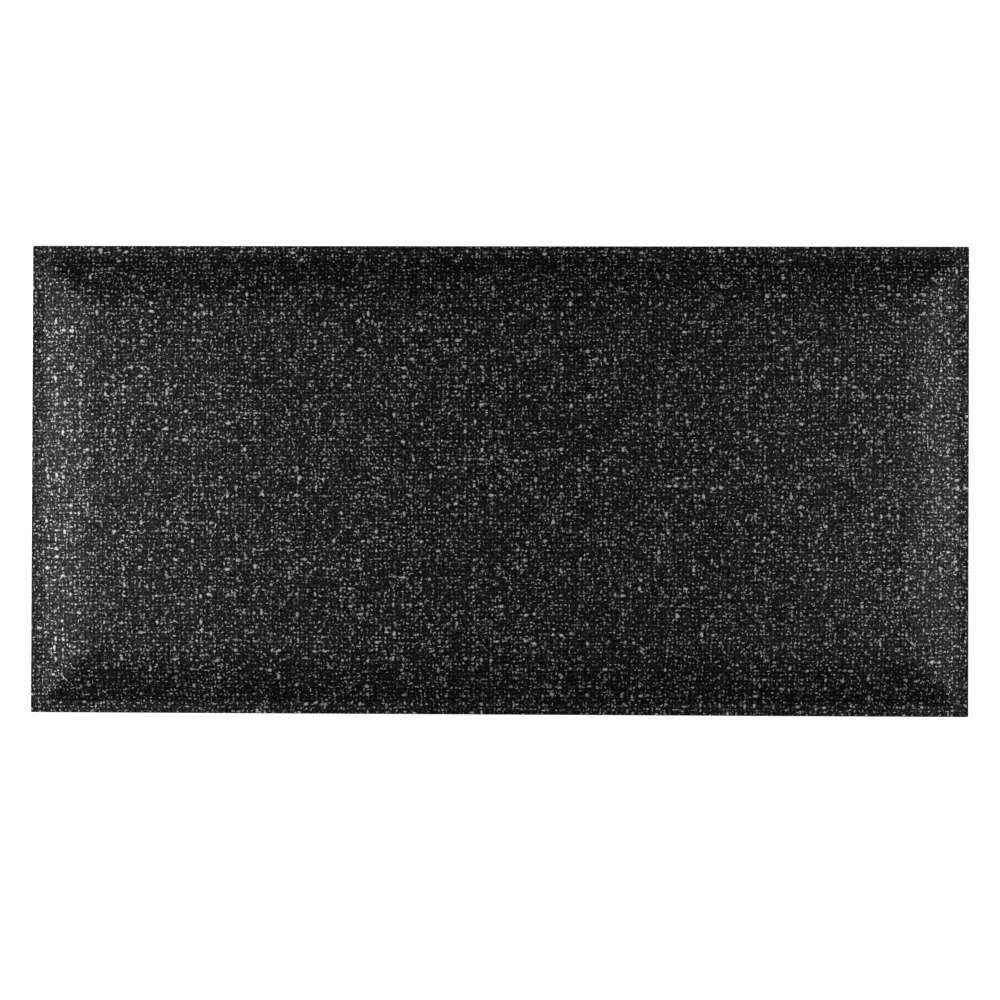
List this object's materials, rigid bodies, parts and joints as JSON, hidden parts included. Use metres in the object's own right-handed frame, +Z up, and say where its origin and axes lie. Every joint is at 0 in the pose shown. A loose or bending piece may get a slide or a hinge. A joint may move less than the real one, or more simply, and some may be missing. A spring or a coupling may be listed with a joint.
{
  "type": "anti fatigue mat",
  "caption": "Cushioned rectangular standing mat with a flat welded rim, a bevelled edge all round and a woven-look embossed top.",
  "frame": {"origin": "on the floor under the middle of the mat", "axes": "+X along the length, +Y across the width, +Z up"},
  "size_m": [0.9144, 0.4572, 0.019],
  "materials": {
    "embossed_vinyl": "satin black vinyl embossed like a coarse tweed, with grey printed tips",
    "soft_foam": "pale grey open-cell foam",
    "firm_foam": "charcoal closed-cell foam",
    "grip_rubber": "matt black non-slip rubber with fine moulded pips"
  },
  "bodies": {
    "root": {"top_skin": "embossed_vinyl", "comfort_foam": "soft_foam", "support_foam": "firm_foam", "base_sheet": "grip_rubber"}
  },
  "joints": []
}
